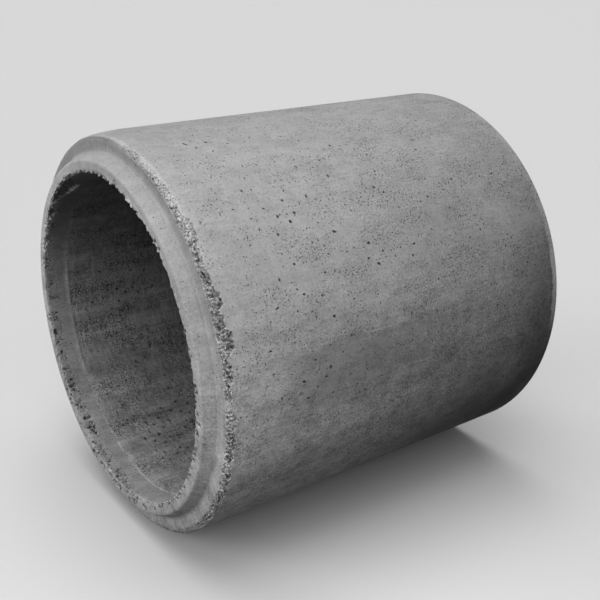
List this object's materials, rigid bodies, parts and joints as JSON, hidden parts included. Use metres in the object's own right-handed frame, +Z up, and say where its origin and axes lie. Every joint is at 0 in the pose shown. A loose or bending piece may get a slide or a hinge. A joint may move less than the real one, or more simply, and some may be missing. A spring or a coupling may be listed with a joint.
{
  "type": "concrete sewer pipe",
  "caption": "Short thick-walled concrete sewer pipe with a tapered tongue at one end and a matching groove at the other, lying on its side.",
  "frame": {"origin": "on the ground under the middle of the pipe: the centre of the bounding box's bottom face", "axes": "X along the pipe's axis, with the tongue towards -X and the groove towards +X; +Z up as the pipe lies"},
  "size_m": [1.03, 0.9794, 0.9795],
  "materials": {
    "cast_concrete": "matt grey cast concrete with small air holes, honeycombed aggregate at the arrises"
  },
  "bodies": {
    "root": {"concrete_pipe": "cast_concrete"}
  },
  "joints": []
}
